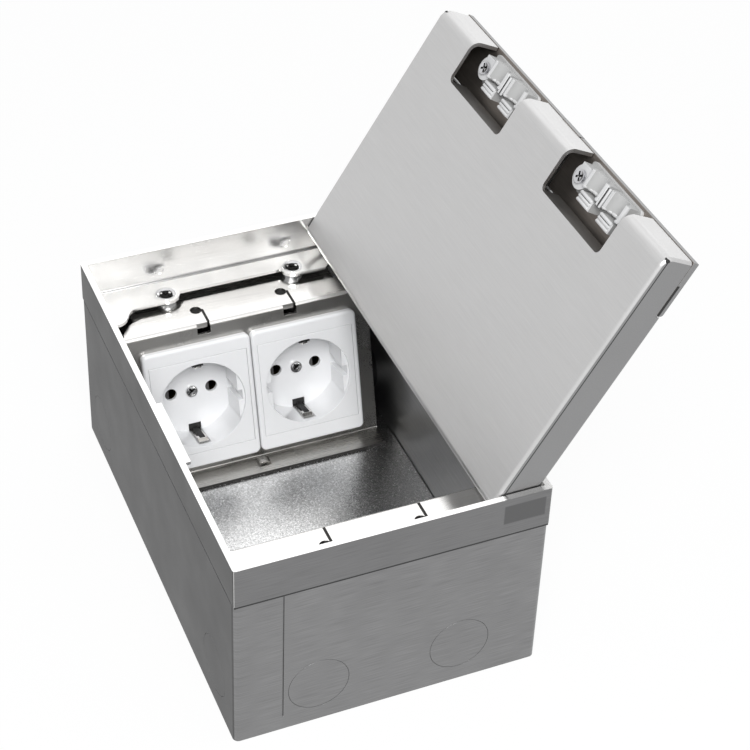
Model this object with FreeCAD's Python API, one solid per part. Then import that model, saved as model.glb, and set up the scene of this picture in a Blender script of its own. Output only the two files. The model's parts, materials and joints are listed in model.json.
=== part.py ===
import FreeCAD, Part
import math, os

# ---------------------------------------------------------------- driving dimensions (mm)
BOX_W, BOX_L = 130.0, 200.9          # lower box, outside, across X and along Y
BOX_H = 74.0                         # lower box height
SHEET = 1.5                          # sheet thickness of box, brackets and lid tray
BOX_R = 2.4                          # outside radius of the box's upright corners
GASKET = 0.5                         # seal between lower box and trim
TRIM_W, TRIM_L = 130.0, 202.0        # trim frame, outside
TRIM_H = 18.5                        # trim frame height
TRIM_WALL = 2.5
TOP = BOX_H + GASKET + TRIM_H        # overall height of the frame, 93.0
FLANGE_Z = BOX_H + GASKET            # underside of the trim's inward flange
CLEAR = 0.5                          # lid to trim, all round
KNOCK_R, KNOCK_Z = 12.75, 20.0       # conduit knock-outs, radius and height
KNOCK_X, KNOCK_Y = 30.0, 77.0        # on the short and on the long walls
KNOCK_GAP = 0.12
FIX_X, FIX_Y, FIX_R = 45.0, 88.0, 3.0   # fixing holes in the bottom
LEVEL_X, LEVEL_Y = 30.0, 88.5        # levelling screws
LOBE_R = 6.2
POST_R = 4.5
TILT = 15.1                          # lean of the socket faces
SHELF_Z = 72.1                       # top of the bracket shelf
FACE_Y, FACE_Z = 66.2, 70.0          # a point on the bracket's face
LIP_TOP = 4.5
LIP_Y = 37.5
FRONT_SHIFT = 2.5                    # the front bracket stands this much further out
PLATE_T = 3.5                        # socket frame thickness
PLATE_Z = 67.5                       # height of the datum on the front plane of the sockets
PLATE_TOP, PLATE_BOTTOM = 2.2, 60.9  # along the tilted plane, downwards
SOCKET_X = 25.1                      # centre of a socket off the middle
SOCKET_V = 31.3                      # centre of a socket down the tilted plane
MODULE = 45.0                        # square insert
RECESS_R, RECESS_D = 20.1, 17.5      # plug recess
PIN_PITCH, PIN_HOLE_R = 19.0, 2.7
CUP_T = 2.0
PIVOT_X, PIVOT_Z = 53.1, 88.0        # lid hinge
LID_OPEN = 121.5                     # the lid stands open in the modelled pose
LID_H = 16.2
HINGE_PIN_R = 2.0
RUN_FIT = 0.05
FLAP_X, FLAP_PIN_R = -38.6, 0.7      # outlet flap hinge
FLAP_T = 2.7
BRIDGE = 7.5                         # half width of the fixed strip between the flaps
OUTLET_W, OUTLET_U = 47.5, 101.8     # lid openings, width and start
LIP_DEPTH = 10.0                     # fold along each opening's hinge side
OUTLETS = {"rear": 43.45, "front": -43.85}
SEAM_X, SEAM_Z = -45.0, 7.3          # overlap seam on the box's short walls

X, Y, Z = (FreeCAD.Vector(1, 0, 0), FreeCAD.Vector(0, 1, 0), FreeCAD.Vector(0, 0, 1))
O = FreeCAD.Vector(0, 0, 0)
NODES = {}


def V(x, y, z):
    return FreeCAD.Vector(x, y, z)


def box(x0, x1, y0, y1, z0, z1):
    return Part.makeBox(x1 - x0, y1 - y0, z1 - z0, V(x0, y0, z0))


def cyl(x, y, z, r, h, d=Z):
    return Part.makeCylinder(r, h, V(x, y, z), d)


def rod(x, y, z, r, h, d=Z, sides=12):
    """A many-sided rod or bore for small hidden pieces; r reaches the flats."""
    u = X if abs(d.x) < 0.5 else Y
    v = d.cross(u)
    c = r / math.cos(math.pi / sides)
    turns = [2 * math.pi * (i + 0.5) / sides for i in range(sides)]
    p = [V(x, y, z) + u * (c * math.cos(a)) + v * (c * math.sin(a)) for a in turns]
    return Part.Face(Part.makePolygon(p + [p[0]])).extrude(d * h)


def rounded(x0, x1, y0, y1, z0, z1, r):
    """A block with rounded upright edges."""
    a = r * (1 - math.sqrt(0.5))
    edges = []
    pts = [(x0 + r, y0), (x1 - r, y0), (x1 - a, y0 + a), (x1, y0 + r), (x1, y1 - r), (x1 - a, y1 - a),
           (x1 - r, y1), (x0 + r, y1), (x0 + a, y1 - a), (x0, y1 - r), (x0, y0 + r), (x0 + a, y0 + a)]
    p = [V(q[0], q[1], z0) for q in pts]
    for i in range(4):
        k = 3 * i
        edges.append(Part.makeLine(p[k], p[k + 1]))
        edges.append(Part.Arc(p[k + 1], p[k + 2], p[(k + 3) % 12]).toShape())
    return Part.Face(Part.Wire(edges)).extrude(V(0, 0, z1 - z0))


def poly(points, plane, lo, hi):
    """A polygon extruded: plane 'xy' along Z, 'yz' along X, 'xz' along Y."""
    if plane == "xy":
        p = [V(a, b, lo) for a, b in points]
        d = V(0, 0, hi - lo)
    elif plane == "yz":
        p = [V(lo, a, b) for a, b in points]
        d = V(hi - lo, 0, 0)
    else:
        p = [V(a, lo, b) for a, b in points]
        d = V(0, hi - lo, 0)
    return Part.Face(Part.makePolygon(p + [p[0]])).extrude(d)


def fuse(shapes):
    out = shapes[0]
    if len(shapes) > 1:
        out = out.multiFuse(shapes[1:])
    return out.removeSplitter()


def cut(shape, tools):
    for t in tools:
        shape = shape.cut(t)
    return shape


def fillet_along(shape, axis, places, r):
    """Round the edges that run along one axis and pass through the given places."""
    keep = []
    for e in shape.Edges:
        if len(e.Vertexes) != 2:
            continue
        a, b = e.Vertexes[0].Point, e.Vertexes[1].Point
        d = b - a
        if d.Length < 1.0:
            continue
        along = {"x": (abs(d.y) + abs(d.z), a.y, a.z), "y": (abs(d.x) + abs(d.z), a.x, a.z),
                 "z": (abs(d.x) + abs(d.y), a.x, a.y)}[axis]
        if along[0] > 1e-6:
            continue
        for u, v in places:
            if abs(along[1] - u) < 1e-3 and abs(along[2] - v) < 1e-3:
                keep.append(e)
    return shape.makeFillet(r, keep) if keep else shape


def put(name, shape):
    NODES[name] = shape


def compound(shapes):
    return Part.makeCompound(shapes)


# ---------------------------------------------------------------- lower box
hw, hl = BOX_W / 2, BOX_L / 2
shell = rounded(-hw, hw, -hl, hl, 0, BOX_H, BOX_R)
shell = shell.cut(rounded(-hw + SHEET, hw - SHEET, -hl + SHEET, hl - SHEET, SHEET, BOX_H + 1,
                          BOX_R - SHEET + 0.1))
knock_walls = [(sx * KNOCK_X, sy * hl, sy, "y") for sx in (-1, 1) for sy in (-1, 1)]
knock_walls += [(sx * hw, sy * KNOCK_Y, sx, "x") for sx in (-1, 1) for sy in (-1, 1)]


def knock(x, y, side, axis, r, inset, reach):
    if axis == "y":
        return cyl(x, y - side * (SHEET - inset) if side > 0 else y - reach + inset, KNOCK_Z, r,
                   SHEET - inset + reach if side > 0 else SHEET - inset + reach, Y)
    return cyl(x - side * (SHEET - inset) if side > 0 else x - reach + inset, y, KNOCK_Z, r,
               SHEET - inset + reach, X)


discs = []
for kx, ky, side, axis in knock_walls:
    shell = shell.cut(knock(kx, ky, side, axis, KNOCK_R, -1.0, 1.0))
    d = Y if axis == "y" else X
    start = [kx, ky, KNOCK_Z]
    k = 1 if axis == "y" else 0
    start[k] = start[k] - SHEET if side > 0 else start[k]
    disc = Part.makeCylinder(KNOCK_R - KNOCK_GAP, SHEET, V(*start), d)
    discs.append(disc)
for sx in (-1, 1):
    for sy in (-1, 1):
        shell = shell.cut(cyl(sx * FIX_X, sy * FIX_Y, -1, FIX_R, 4))
for sy in (-1, 1):
    y = sy * hl
    shell = shell.cut(box(SEAM_X - 0.3, SEAM_X + 0.3, min(y, y - sy * 0.5), max(y, y - sy * 0.5),
                          SEAM_Z, BOX_H + 1))
put("lower_box", shell)
put("knockout_discs", compound(discs))

plate = rounded(-hw + SHEET + 0.4, hw - SHEET - 0.4, -hl + SHEET + 0.6, hl - SHEET - 0.6, SHEET, 2 * SHEET, 1.0)
for sx in (-1, 1):
    for sy in (-1, 1):
        plate = plate.cut(cyl(sx * FIX_X, sy * FIX_Y, 0, 2.2 * FIX_R, 5))
put("floor_plate", plate)

g0, g1 = 0.5, 2.1
gasket = rounded(-hw + g0, hw - g0, -hl + g0, hl - g0, BOX_H, BOX_H + GASKET, 2.0)
gasket = gasket.cut(rounded(-hw + g1, hw - g1, -hl + g1, hl - g1, BOX_H - 1, BOX_H + 1, 1.0))
put("trim_gasket", gasket)

# ---------------------------------------------------------------- trim frame
tw, tl = TRIM_W / 2, TRIM_L / 2
iw, il = tw - TRIM_WALL, tl - TRIM_WALL
f0, f1 = FLANGE_Z, FLANGE_Z + SHEET
ring = rounded(-tw, tw, -tl, tl, f0, TOP, 1.2)
ring = ring.cut(box(-iw, iw, -il, il, f0 - 1, TOP + 1))
EDGE_MID, EDGE_LOW, FREE_X = 88.1, 82.7, 46.0
parts = [ring, box(-iw - 0.5, -57.0, -il - 0.5, il + 0.5, f0, f1)]
for sy in (-1, 1):
    def ys(a, b):
        return (min(sy * a, sy * b), max(sy * a, sy * b))
    a, b = ys(EDGE_MID, il + 0.5)
    parts.append(box(-iw - 0.5, FREE_X, a, b, f0, f1))
    a, b = ys(EDGE_LOW, il)
    parts.append(box(-43.7, -LEVEL_X, a, b, f0, f1))
    parts.append(box(LEVEL_X, FREE_X - 2.0, a, b, f0, f1))
    parts.append(poly([(FREE_X - 2.01, sy * EDGE_LOW), (FREE_X, sy * (EDGE_LOW + 2)), (FREE_X, sy * 90),
                       (FREE_X - 2.01, sy * 90)], "xy", f0, f1))
    gusset = [(-43.6, 82.7), (-46.2, 82.4), (-48.2, 81.4), (-49.6, 79.7), (-50.9, 77.3), (-52.8, 75.3),
              (-54.6, 74.3), (-57.2, 73.9), (-57.2, 90.0), (-43.6, 90.0)]
    parts.append(poly([(gx, sy * gy) for gx, gy in gusset], "xy", f0, f1))
    for sx in (-1, 1):
        parts.append(cyl(sx * LEVEL_X, sy * LEVEL_Y, f0, LOBE_R, SHEET))
parts.append(box(-57.1, -54.7, -20.6, 18.0, f0, f1))
trim = fuse(parts)
trim = trim.cut(box(-58.6, -56.6, -22.6, -20.6, f0 - 1, f1 + 1))
SCREW_R, HEAD_R = 2.1, 4.5
for sx in (-1, 1):
    for sy in (-1, 1):
        x, y = sx * LEVEL_X, sy * LEVEL_Y
        trim = trim.cut(cyl(x, y, f0 - 1, SCREW_R + 0.3, 4))
        trim = trim.cut(Part.makeCone(SCREW_R + 0.3, HEAD_R + 0.2, SHEET + 0.01, V(x, y, f0), Z))
        yd = sy * (il + 0.6) if sy < 0 else sy * il
        trim = trim.cut(cyl(x, yd, 82.0, 2.5, 0.6, Y))
for sy in (-1, 1):
    y0 = il if sy > 0 else -il - 1.2
    trim = trim.cut(cyl(PIVOT_X, y0, PIVOT_Z, HINGE_PIN_R, 1.2, Y))
put("trim_frame", trim)

posts, screws, pins = [], [], []
POST_Z = 54.0
for sx in (-1, 1):
    for sy in (-1, 1):
        x, y = sx * LEVEL_X, sy * LEVEL_Y
        post = cyl(x, y, POST_Z, POST_R, f0 - POST_Z)
        web = box(x - 3, x + 3, min(y, sy * (hl - SHEET)), max(y, sy * (hl - SHEET)), POST_Z, BOX_H - 4)
        post = fuse([post, web]).cut(rod(x, y, POST_Z + 2, SCREW_R + 0.05, 40))
        posts.append(post)
        head = Part.makeCone(SCREW_R, HEAD_R, SHEET - 0.1, V(x, y, f0 + 0.05), Z)
        s = fuse([head, rod(x, y, f0 - 18, SCREW_R * 0.96, 18.06)])
        screws.append(s)
for sy in (-1, 1):
    y0 = 94.2 if sy > 0 else -il - 1.2
    pins.append(cyl(PIVOT_X, y0, PIVOT_Z, HINGE_PIN_R, il + 1.2 - 94.2, Y))
put("level_posts", compound(posts))
put("level_screws", compound(screws))
put("hinge_pins", compound(pins))

# ---------------------------------------------------------------- socket brackets
t = math.tan(math.radians(TILT))
back = SHEET / math.cos(math.radians(TILT))


def face_y(z):
    return FACE_Y + (z - FACE_Z) * t


REAR_MID, REAR_SIDE = 85.5, 79.3
HOLE_X, HOLE_Y, HOLE_R = 20.0, 77.2, 2.6
zb, lb = SHELF_Z - SHEET, LIP_TOP - SHEET
profile = [(REAR_MID, SHELF_Z), (face_y(SHELF_Z), SHELF_Z), (face_y(LIP_TOP), LIP_TOP), (LIP_Y, LIP_TOP),
           (LIP_Y, lb), (face_y(lb) + back, lb), (face_y(zb) + back, zb), (REAR_MID, zb)]
BR_X0, BR_X1 = -56.0, 57.4
bracket = poly(profile, "yz", BR_X0, BR_X1)
bracket = fillet_along(bracket, "x", [(profile[1][0], SHELF_Z)], 2.0)
bracket = fillet_along(bracket, "x", [(profile[6][0], zb)], 0.5)
bracket = fillet_along(bracket, "x", [(profile[5][0], lb)], 2.0)
bracket = fillet_along(bracket, "x", [(profile[2][0], LIP_TOP)], 0.6)
trims = []
for sx in (-1, 1):
    xe = BR_X1 if sx > 0 else -BR_X0
    outline = [(LEVEL_X, REAR_SIDE), (45.0, REAR_SIDE - 0.2), (49.0, 77.8), (51.5, 76.0), (53.5, 73.6),
               (54.9, 70.9), (xe + 0.01, 67.0), (70, 67.0), (70, 90), (LEVEL_X, 90)]
    trims.append(poly([(sx * a, b) for a, b in outline], "xy", 60, 80))
    trims.append(cyl(sx * LEVEL_X, 87.5, 60, 7.3, 20))
    trims.append(cyl(sx * HOLE_X, HOLE_Y, 60, HOLE_R, 20))
    nx = 17.35 if sx > 0 else -22.95
    nw = 5.6
    trims.append(box(nx, nx + nw, 60, 67.6, SHELF_Z - 4.6, 80))
    slot_x = nx + nw - 0.5
    trims.append(box(slot_x, slot_x + 1.0, 62, HOLE_Y, SHELF_Z - 4.6, 80))
trims.append(box(-2.9, 2.9, 41.2, 42.2, 0, 8))
trims.append(box(-2.9, 2.9, 46.0, 47.0, 0, 8))
bracket = cut(bracket, trims)
lance = Part.makeCylinder(3.4, 3.9, V(0, 42.15, LIP_TOP - 1.6), Y)
lance = lance.cut(Part.makeCylinder(2.2, 5, V(0, 41.6, LIP_TOP - 1.6), Y))
lance = lance.common(box(-3.4, 3.4, 40, 50, LIP_TOP, 10))
bracket = bracket.cut(box(-1.4, 1.4, 42.1, 46.1, 0, 8))
bracket = bracket.fuse(lance)


PLATE_Y = face_y(PLATE_Z) - (PLATE_T + 0.02) / math.cos(math.radians(TILT))


def tilted(s):
    s = s.copy()
    s.rotate(O, X, -TILT)
    s.translate(V(0, PLATE_Y, PLATE_Z))
    return s


def side(s, which):
    """The rear half as drawn, the front half mirrored and moved out."""
    if which == "rear":
        return s
    m = s.mirror(O, Y)
    m.translate(V(0, -FRONT_SHIFT, 0))
    return m


hole_half = MODULE / 2 + 0.3
for sx in (-1, 1):
    window = box(sx * SOCKET_X - hole_half, sx * SOCKET_X + hole_half, 2, 8, -SOCKET_V - hole_half,
                 -SOCKET_V + hole_half)
    bracket = bracket.cut(tilted(window))
bracket = max(bracket.Solids, key=lambda q: q.Volume)
for which in ("rear", "front"):
    put(which + "_bracket", side(bracket, which))

nuts, setscrews = [], []
for which in ("rear", "front"):
    for sx in (-1, 1):
        x = sx * HOLE_X
        nut = fuse([rod(x, HOLE_Y, zb - 2.5, 4.0, 2.5, Z, 6), rod(x, HOLE_Y, zb - 0.5, HOLE_R - 0.2, 1.3)])
        nut = nut.cut(rod(x, HOLE_Y, zb - 4, 1.6, 8))
        nuts.append(side(nut, which))
        tip = fuse([rod(x, HOLE_Y, zb - 9, 1.52, 9.8), rod(x, HOLE_Y, zb - 10.5, 2.9, 1.6)])
        setscrews.append(side(tip, which))
put("bracket_nuts", compound(nuts))
put("bracket_screws", compound(setscrews))

# ---------------------------------------------------------------- sockets
half = MODULE / 2


def socket(cx):
    """Pieces of one socket in the tilted plane: X across, Y into the socket, Z up."""
    cz = -SOCKET_V
    out = {}
    x0, x1 = (cx - 25.0, cx + 24.8) if cx < 0 else (cx - 24.9, cx + 24.9)
    frame = box(x0, x1, 0, PLATE_T, -PLATE_BOTTOM, -PLATE_TOP)
    frame = frame.makeFillet(0.9, [e for e in frame.Edges if abs(e.BoundBox.YMax) < 1e-6])
    opening = half + 0.12
    frame = frame.cut(box(cx - opening, cx + opening, -1, PLATE_T + 1, cz - opening, cz + opening))
    out["socket_frame"] = frame
    face = box(cx - half, cx + half, 0, PLATE_T, cz - half, cz + half)
    face = face.makeFillet(0.3, [e for e in face.Edges if abs(e.BoundBox.YMax) < 1e-6])
    depth = RECESS_D + CUP_T
    module = fuse([face, rod(cx, PLATE_T - 0.5, cz, RECESS_R + 1.5, depth - PLATE_T + 0.5, Y, 8)])
    recess = cyl(cx, -1, cz, RECESS_R, RECESS_D + 1, Y)
    keys = []
    for sx in (-1, 1):
        key = box(min(cx + sx * 17, cx + sx * 21), max(cx + sx * 17, cx + sx * 21), 1.6, RECESS_D + 1,
                  cz - 11, cz + 11)
        groove = box(min(cx + sx * 16, cx + sx * 19.2), max(cx + sx * 16, cx + sx * 19.2), 0, RECESS_D + 2,
                     cz - 2.4, cz + 2.4)
        keys.append(key.cut(groove))
    module = module.cut(cut(recess, keys))
    for sz in (-1, 1):
        z0, z1 = sorted((cz + sz * 16.4, cz + sz * 20.9))
        module = module.cut(box(cx - 2.9, cx + 2.9, 3.0, depth + 1, z0, z1))
    for sx in (-1, 1):
        module = module.cut(cyl(cx + sx * PIN_PITCH / 2, 10, cz, PIN_HOLE_R, 20, Y))
    module = module.cut(rod(cx, 10, cz, 1.6, 20, Y))
    out["socket_module"] = module
    b0, b1, b2 = depth + 1.0, depth + 5.0, 38.0
    base = fuse([rod(cx, b0, cz, RECESS_R + 1.0, b1 - b0, Y, 8),
                 box(cx - 19.5, cx + 19.5, b1 - 1, b2, cz - 13, cz + 13)])
    for sx in (-1, 1):
        base = base.cut(rod(cx + sx * PIN_PITCH / 2, b0 - 1, cz, 3.4, 17, Y, 4))
        base = base.cut(rod(cx + sx * 13, b2 - 4, cz + 8, 2.3, 6, Y, 8))
    base = base.cut(rod(cx, b0 - 1, cz, 1.6, 14, Y))
    out["socket_base"] = base
    clip = box(cx - 2.3, cx + 2.3, depth + 0.1, depth + 0.9, cz - 20.4, cz + 20.4)
    prongs = []
    for sz in (-1, 1):
        z0, z1 = sorted((cz + sz * 19.5, cz + sz * 20.4))
        prongs.append(box(cx - 2.3, cx + 2.3, 4.2, depth + 0.9, z0, z1))
        z0, z1 = sorted((cz + sz * 18.6, cz + sz * 20.4))
        prongs.append(box(cx - 2.3, cx + 2.3, 6.0, 8.5, z0, z1))
    clip = fuse([clip] + prongs).cut(rod(cx, 15, cz, 1.9, 10, Y, 8))
    out["earth_clip"] = clip
    sleeves = []
    for sx in (-1, 1):
        sleeve = rod(cx + sx * PIN_PITCH / 2, b0 + 0.1, cz, 3.3, 15, Y, 4)
        sleeve = sleeve.cut(rod(cx + sx * PIN_PITCH / 2, b0 - 1, cz, 2.5, 15, Y, 8))
        sleeves.append(sleeve)
    out["pin_contacts"] = compound(sleeves)
    shutters = []
    for sx in (-1, 1):
        cxs = cx + sx * PIN_PITCH / 2 - 1.7
        shutters.append(box(cxs - 3.4, cxs + 1.2, depth + 0.1, depth + 0.8, cz - 3.4, cz + 3.4))
    out["shutters"] = compound(shutters)
    out["screw"] = fuse([cyl(cx, RECESS_D - 1.3, cz, 2.65, 1.3, Y), rod(cx, RECESS_D - 0.1, cz, 1.5, 14, Y)])
    terminals = []
    for sx in (-1, 1):
        ts = rod(cx + sx * 13, b2 - 3.9, cz + 8, 2.2, 3.2, Y, 8)
        terminals.append(ts.cut(box(cx + sx * 13 - 3, cx + sx * 13 + 3, b2 - 1.6, b2, cz + 7.7, cz + 8.3)))
    out["terminals"] = terminals
    return out


socket_screws, terminal_screws = [], []
for which in ("rear", "front"):
    for label, cx in (("left", -SOCKET_X), ("right", SOCKET_X)):
        pieces = socket(cx)
        for kind in ("socket_frame", "socket_module", "socket_base", "earth_clip", "pin_contacts", "shutters"):
            put("%s_%s_%s" % (kind, which, label), side(tilted(pieces[kind]), which))
        socket_screws.append(side(tilted(pieces["screw"]), which))
        terminal_screws += [side(tilted(s), which) for s in pieces["terminals"]]
put("socket_screws", compound(socket_screws))
put("terminal_screws", compound(terminal_screws))

# earth stud and nut on the front wall, between the two front sockets
wall_y = -(hl - SHEET)
put("earth_stud", fuse([rod(0, wall_y, 40, 4.0, 1.0, Y), rod(0, wall_y, 40, 2.0, 11, Y)]))
put("earth_washer", rod(0, wall_y + 1.1, 40, 4.6, 1.0, Y).cut(rod(0, wall_y, 40, 2.1, 4, Y)))
put("earth_nut", rod(0, wall_y + 2.2, 40, 3.5, 3.2, Y, 6).cut(rod(0, wall_y + 1, 40, 2.05, 8, Y)))

# ---------------------------------------------------------------- lid, drawn closed and then opened
L0, L1 = TOP - LID_H, TOP
HX = iw - 1.0                         # hinge-side face
LX_TOP, LX_BOT = -iw + CLEAR, -60.3   # free edge at the top, free side of the panel
LY = il - CLEAR
FLAP_FLOOR = L1 - FLAP_T - 0.3        # the flaps lie above this


def open_lid(s):
    s = s.copy()
    s.rotate(V(PIVOT_X, 0, PIVOT_Z), Y, LID_OPEN)
    return s


def lx(z):
    return LX_BOT + (LX_TOP - LX_BOT) * (z - L0) / LID_H


outer = poly([(HX, L0), (HX, L1), (LX_TOP, L1), (LX_BOT, L0)], "xz", -LY, LY)
outer = fillet_along(outer, "y", [(HX, L0), (HX, L1)], 3.0)
outer = fillet_along(outer, "y", [(LX_BOT, L0)], 5.0)
outer = outer.makeFillet(1.8, [e for e in outer.Edges
                               if abs(abs(e.BoundBox.YMax) - LY) < 1e-6 and abs(e.BoundBox.YLength) < 1e-6
                               and abs(e.BoundBox.ZMin - L0) < 1e-6 and abs(e.BoundBox.ZMax - L0) < 1e-6])
inner = poly([(HX - SHEET, L0 + SHEET), (HX - SHEET, L1 - SHEET), (HX - SHEET - 2.9, L1 - SHEET),
              (HX - SHEET - 2.9, L1 + 1), (lx(L1) + SHEET, L1 + 1), (LX_BOT + SHEET + 0.1, L0 + SHEET)],
             "xz", -LY + SHEET, LY - SHEET)
inner = fillet_along(inner, "y", [(HX - SHEET, L0 + SHEET), (HX - SHEET, L1 - SHEET)], 1.5)
inner = fillet_along(inner, "y", [(LX_BOT + SHEET + 0.1, L0 + SHEET)], 3.5)
tray = outer.cut(inner)
TOP_EDGE = FLAP_X + 1.8               # edge of the cover plate beside the flap barrel
tray = tray.cut(box(-70, TOP_EDGE, -LY - 1, LY + 1, FLAP_FLOOR, L1 + 1))
for sy in (-1, 1):
    tray = tray.cut(cyl(HX - 122.0, sy * 97.0, L0 - 1, 1.6, 3.0))
    y0 = LY - 3 if sy > 0 else -LY - 1
    tray = tray.cut(cyl(PIVOT_X, y0, PIVOT_Z, HINGE_PIN_R + RUN_FIT, 4, Y))
for yc in OUTLETS.values():
    hole = rounded(-70, HX - OUTLET_U, yc - OUTLET_W / 2, yc + OUTLET_W / 2, L0 - 2, FLAP_FLOOR + 1, 2.6)
    tray = tray.cut(hole)
    lip = box(HX - OUTLET_U, HX - OUTLET_U + 1.0, yc - OUTLET_W / 2, yc + OUTLET_W / 2, L0 + 0.5, L0 + LIP_DEPTH)
    tray = tray.fuse(lip)
put("lid_tray", open_lid(tray.removeSplitter()))

cover_z = FLAP_FLOOR
cover = fuse([box(TOP_EDGE, HX - SHEET - 2.9, -LY + SHEET, LY - SHEET, cover_z, L1),
              box(LX_TOP, TOP_EDGE + 0.5, -BRIDGE, BRIDGE, cover_z, L1)])
for sy in (-1, 1):
    y0 = 93.6 if sy > 0 else -LY
    cover = cover.cut(cyl(PIVOT_X, y0, PIVOT_Z, 4.4, LY - 93.6, Y))
flap_z = L1 - FLAP_T / 2
cover = cover.cut(cyl(FLAP_X, -20, flap_z, FLAP_PIN_R, 40, Y))
put("lid_cover", open_lid(cover))

ribs = [box(rx - 1.0, rx + 1.0, -90, 90, L0 + SHEET, cover_z) for rx in (30.0, 0.0, -28.0)]
put("lid_ribs", open_lid(compound(ribs)))
bushes = []
for sy in (-1, 1):
    y0 = 93.8 if sy > 0 else -LY + SHEET
    b = cyl(PIVOT_X, y0, PIVOT_Z, 4.0, LY - SHEET - 93.8, Y)
    bushes.append(b.cut(cyl(PIVOT_X, y0 - 1, PIVOT_Z, HINGE_PIN_R + RUN_FIT, 6, Y)))
put("hinge_bushes", open_lid(compound(bushes)))

LUG_Y0, LUG_Y1 = 90.0, 93.0
lugs, flap_pins = [], [cyl(FLAP_X, -16, flap_z, FLAP_PIN_R, 32, Y)]
for sy in (-1, 1):
    y0, y1 = sorted((sy * LUG_Y0, sy * LUG_Y1))
    lug = fuse([cyl(FLAP_X, y0, flap_z, 1.3, y1 - y0, Y),
                box(FLAP_X - 1.3, FLAP_X + 1.3, y0, y1, L0 + SHEET, flap_z)])
    lugs.append(lug.cut(cyl(FLAP_X, y0 - 1, flap_z, FLAP_PIN_R, 5, Y)))
    y0, y1 = sorted((sy * 84.0, sy * 97.0))
    flap_pins.append(cyl(FLAP_X, y0, flap_z, FLAP_PIN_R, y1 - y0, Y))
put("flap_lugs", open_lid(compound(lugs)))
put("flap_pins", open_lid(compound(flap_pins)))

for which, sy in (("rear", 1), ("front", -1)):
    y0, y1 = sorted((sy * (BRIDGE + 0.4), sy * (LY - 0.1)))
    r = FLAP_T / 2
    flap = fuse([box(LX_TOP, FLAP_X, y0, y1, L1 - FLAP_T, L1), cyl(FLAP_X, y0, flap_z, r, y1 - y0, Y)])
    n0, n1 = sorted((sy * (LUG_Y0 - 0.4), sy * (LUG_Y1 + 0.4)))
    flap = flap.cut(box(FLAP_X - 2.0, FLAP_X + 3, n0, n1, L1 - 5, L1 + 1))
    p0, p1 = sorted((sy * 5.0, sy * 16.5))
    flap = flap.cut(cyl(FLAP_X, p0, flap_z, FLAP_PIN_R + RUN_FIT, p1 - p0, Y))
    p0, p1 = sorted((sy * 83.5, sy * 97.5))
    flap = flap.cut(cyl(FLAP_X, p0, flap_z, FLAP_PIN_R + RUN_FIT, p1 - p0, Y))
    put("outlet_flap_" + which, open_lid(flap))

# cable guides, screwed to the inside of the flaps; u is measured from the hinge side of the lid
GUIDE_U0, GUIDE_U1 = 107.8, 122.2     # along the lid
GUIDE_TOP = L0 + 5.8                  # crest of the saddles and grips
GUIDE_BASE = L0 + 11.8                # face of the base plate
GUIDE_SEAT = L1 - FLAP_T
SADDLE_R, SADDLE_HALF = 4.9, 6.6
SADDLES = (5.2, -10.7)                # saddle centres off the guide's middle
EAR_Y, EAR_U = 15.3, 115.2


def ux(u):
    return HX - u


for which, yc in OUTLETS.items():
    base = rounded(ux(GUIDE_U1), ux(GUIDE_U0), yc - 18.6, yc + 19.6, GUIDE_BASE, GUIDE_SEAT, 1.5)
    ear = fuse([cyl(ux(EAR_U), yc + EAR_Y, GUIDE_TOP + 1.2, 5.2, GUIDE_BASE - GUIDE_TOP - 1.2),
                box(ux(EAR_U + 5.2), ux(EAR_U), yc + EAR_Y - 5.0, yc + EAR_Y + 3.6, GUIDE_TOP + 1.2, GUIDE_BASE)])
    solids, cuts = [base, ear], []
    for sc in SADDLES:
        y = yc + sc
        saddle = box(ux(121.6), ux(113.6), y - SADDLE_HALF, y + SADDLE_HALF, GUIDE_TOP, GUIDE_BASE)
        saddle = fillet_along(saddle, "x", [(y - SADDLE_HALF, GUIDE_TOP), (y + SADDLE_HALF, GUIDE_TOP)], 1.2)
        solids.append(saddle)
        solids.append(box(ux(112.2), ux(107.9), y - 5.0, y + 4.4, GUIDE_TOP + 0.2, GUIDE_BASE))
        cuts.append(cyl(ux(123.0), y, GUIDE_TOP - 0.6, SADDLE_R, 9.6, X))
        for k in range(3):
            gy = y - 3.2 + 2.9 * k
            cuts.append(box(ux(108.7), ux(107.0), gy - 0.6, gy + 0.6, GUIDE_TOP, GUIDE_BASE - 0.8))
    cuts.append(rod(ux(EAR_U), yc + EAR_Y, GUIDE_TOP, 1.5, 8.0))
    guide = cut(fuse(solids), cuts)
    guide = max(guide.Solids, key=lambda q: q.Volume)
    put("outlet_insert_" + which, open_lid(guide))
    sx, sy = ux(EAR_U), yc + EAR_Y
    s = fuse([cyl(sx, sy, GUIDE_TOP - 0.3, 2.9, 1.5), rod(sx, sy, GUIDE_TOP + 1.1, 1.4, 5.8)])
    put("insert_screw_" + which, open_lid(s))

os.makedirs("parts", exist_ok=True)
for name, shape in NODES.items():
    solids = shape.Solids
    if len(solids) > 1:
        shape = Part.makeCompound(solids)
    elif len(solids) == 1:
        shape = solids[0]
    shape.exportStep("parts/%s.step" % name)
print(len(NODES), "nodes")
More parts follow.
